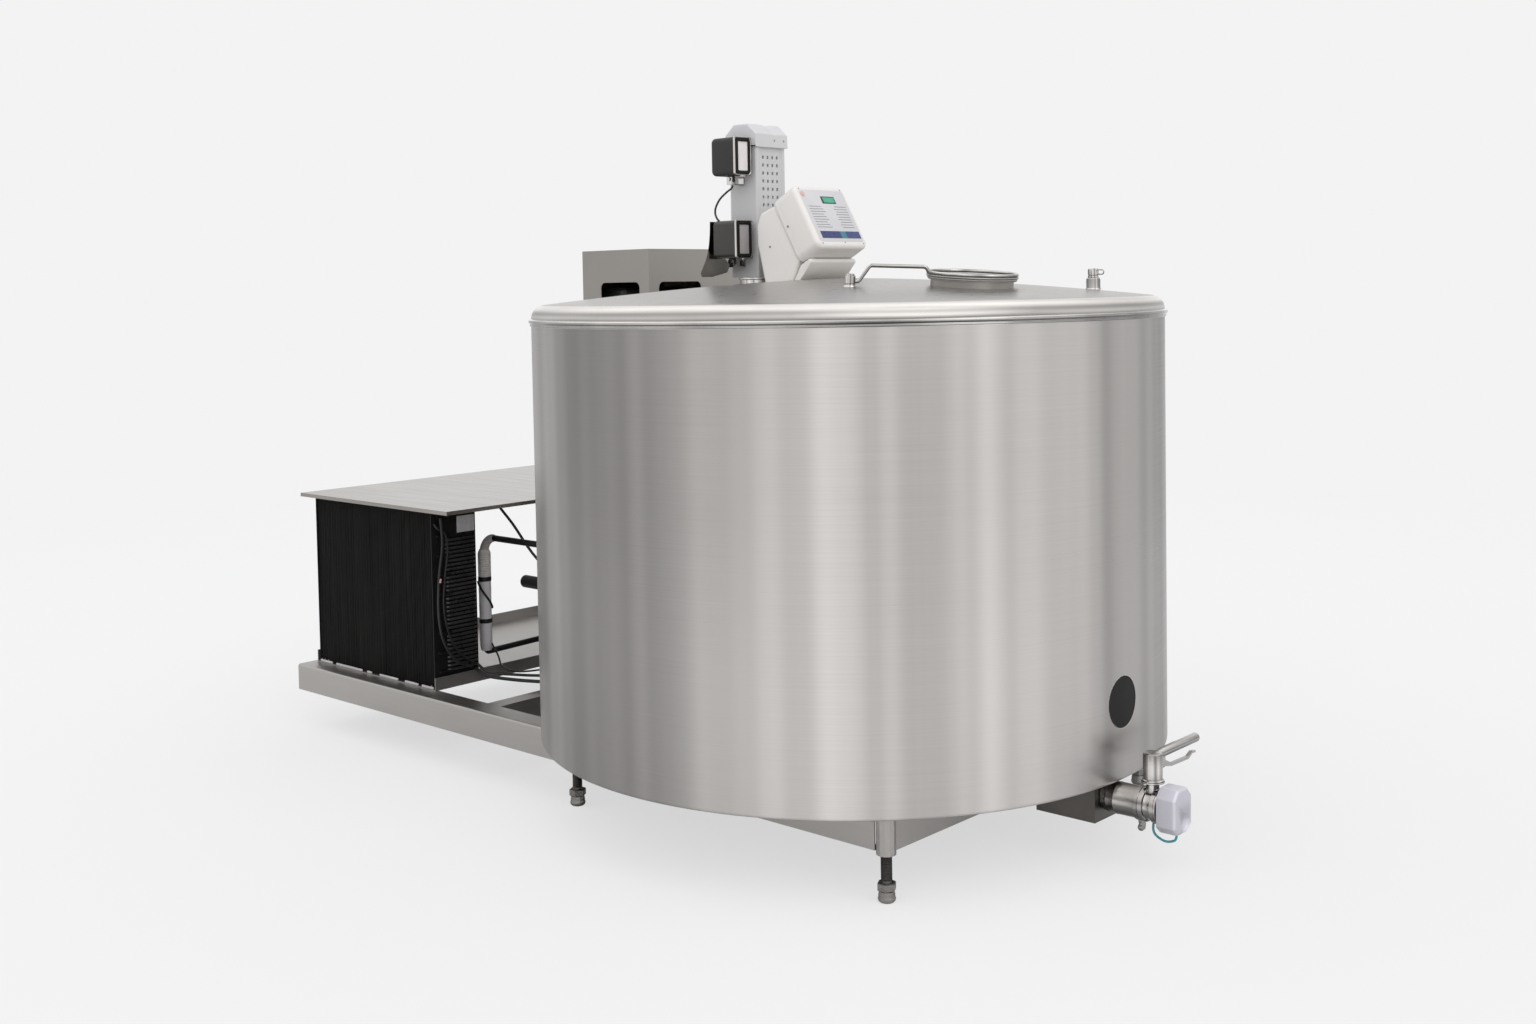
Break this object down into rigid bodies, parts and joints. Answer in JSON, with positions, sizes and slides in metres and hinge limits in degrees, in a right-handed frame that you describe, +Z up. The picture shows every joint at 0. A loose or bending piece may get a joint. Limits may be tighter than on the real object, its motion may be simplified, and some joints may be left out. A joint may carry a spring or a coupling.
{
  "type": "bulk milk cooler",
  "caption": "Upright insulated steel tank on a low frame that cools and stirs milk, with a condensing unit behind and a butterfly outlet valve in front.",
  "frame": {"origin": "on the floor, under the middle of the machine's bounding box", "axes": "+X towards the outlet valve, -X towards the condensing unit, +Z up"},
  "size_m": [2.975, 1.7666, 1.9203],
  "materials": {
    "tank_steel": "satin, brushed",
    "bright_steel": "polished",
    "frame_steel": "satin",
    "dark_spindle": "satin",
    "unit_black": "matte",
    "fin_black": "matte black coating",
    "foam": "matte",
    "seal_rubber": "matte",
    "white_moulding": "satin",
    "grey_moulding": "satin",
    "black_moulding": "satin",
    "lamp_glass": "frosted",
    "display": "gloss",
    "button_pink": "satin",
    "cap_grey": "satin",
    "cord_teal": "satin",
    "pipe_wrap": "matte",
    "cable_black": "satin"
  },
  "bodies": {
    "base": {"cap_cord": "cord_teal", "compressor": "unit_black", "condenser_casing": "unit_black", "condenser_fins": "fin_black", "control_box": "white_moulding", "control_display": "display", "control_pedestal": "white_moulding", "cover_hinge_post": "bright_steel", "cross_member_end": "frame_steel", "cross_member_front": "frame_steel", "cross_member_middle": "frame_steel", "cross_member_rear": "frame_steel", "dipstick_socket": "bright_steel", "dosing_pumps": "black_moulding", "drive_housing": "grey_moulding", "drive_housing_cap": "grey_moulding", "evaporator_plate": "tank_steel", "fan_cable": "cable_black", "fan_motor": "black_moulding", "filter_drier": "black_moulding", "foot_front_left": "dark_spindle", "foot_front_right": "dark_spindle", "foot_rear_left": "dark_spindle", "foot_rear_right": "dark_spindle", "gear_motor": "grey_moulding", "inner_vessel": "tank_steel", "lower_lamp_bracket": "bright_steel", "manhole_gasket": "seal_rubber", "manhole_neck": "bright_steel", "outlet_pipe": "tank_steel", "outlet_stub": "bright_steel", "outlet_sump_box": "tank_steel", "port_plug": "seal_rubber", "rail_left": "frame_steel", "rail_right": "frame_steel", "rim_band": "bright_steel", "sensor_cable": "cable_black", "suction_line": "pipe_wrap", "tank_insulation": "foam", "tank_roof": "tank_steel", "tank_shell": "tank_steel", "unit_base_pan": "unit_black", "unit_lid": "tank_steel", "upper_lamp_bracket": "bright_steel", "valve_body": "bright_steel", "wash_cabinet": "tank_steel"},
    "stirrer": {"agitator": "bright_steel"},
    "fan": {"fan_blades": "black_moulding"},
    "cover": {"manhole_cover": "bright_steel", "cover_arm": "bright_steel"},
    "measuring_rod": {"dipstick": "bright_steel"},
    "upper_lamp_head": {"upper_lamp": "black_moulding", "upper_lamp_glass": "lamp_glass"},
    "lower_lamp_head": {"lower_lamp": "black_moulding", "lower_lamp_glass": "lamp_glass"},
    "valve": {"valve_handle": "bright_steel", "valve_disc": "bright_steel"},
    "trigger": {"valve_trigger": "bright_steel"},
    "cap": {"outlet_cap": "cap_grey"},
    "button": {"alarm_button": "button_pink"}
  },
  "joints": [
    {"name": "stirrer_spin", "type": "hinge", "parent": "base", "child": "stirrer", "pos_m": [0.1275, 0, 1.4], "axis": [0, 0, 1], "continuous": true},
    {"name": "fan_spin", "type": "hinge", "parent": "base", "child": "fan", "pos_m": [-1.1205, -0.372, 0.49315], "axis": [0, 1, 0], "continuous": true},
    {"name": "cover_swing", "type": "hinge", "parent": "base", "child": "cover", "pos_m": [0.7535, -0.349, 1.44385], "axis": [-0.083, 0.0164, -0.9964], "range_deg": [0, 110]},
    {"name": "measuring_rod_lift", "type": "slide", "parent": "base", "child": "measuring_rod", "axis": [0, 0, 1], "range_m": [0, 1.09]},
    {"name": "upper_lamp_tilt", "type": "hinge", "parent": "base", "child": "upper_lamp_head", "pos_m": [0.1175, -0.108, 1.759], "axis": [0, 1, 0], "range_deg": [-15, 15]},
    {"name": "lower_lamp_tilt", "type": "hinge", "parent": "base", "child": "lower_lamp_head", "pos_m": [0.1175, -0.108, 1.521], "axis": [0, 1, 0], "range_deg": [-15, 8]},
    {"name": "valve_turn", "type": "hinge", "parent": "base", "child": "valve", "pos_m": [1.4038, 0, 0.16], "axis": [0, 0, -1], "range_deg": [0, 90]},
    {"name": "trigger_squeeze", "type": "hinge", "parent": "valve", "child": "trigger", "pos_m": [1.4038, 0.04, 0.2555], "axis": [1, 0, 0], "range_deg": [0, 5], "stiffness_Nm_per_rad": 3, "springref_deg": -6.88},
    {"name": "cap_pull", "type": "slide", "parent": "base", "child": "cap", "axis": [1, 0, 0], "range_m": [0, 0.06]},
    {"name": "button_press", "type": "slide", "parent": "base", "child": "button", "axis": [-0.8746, 0, -0.4848], "range_m": [0, 0.002], "stiffness_N_per_m": 400, "springref_m": -0.003}
  ]
}
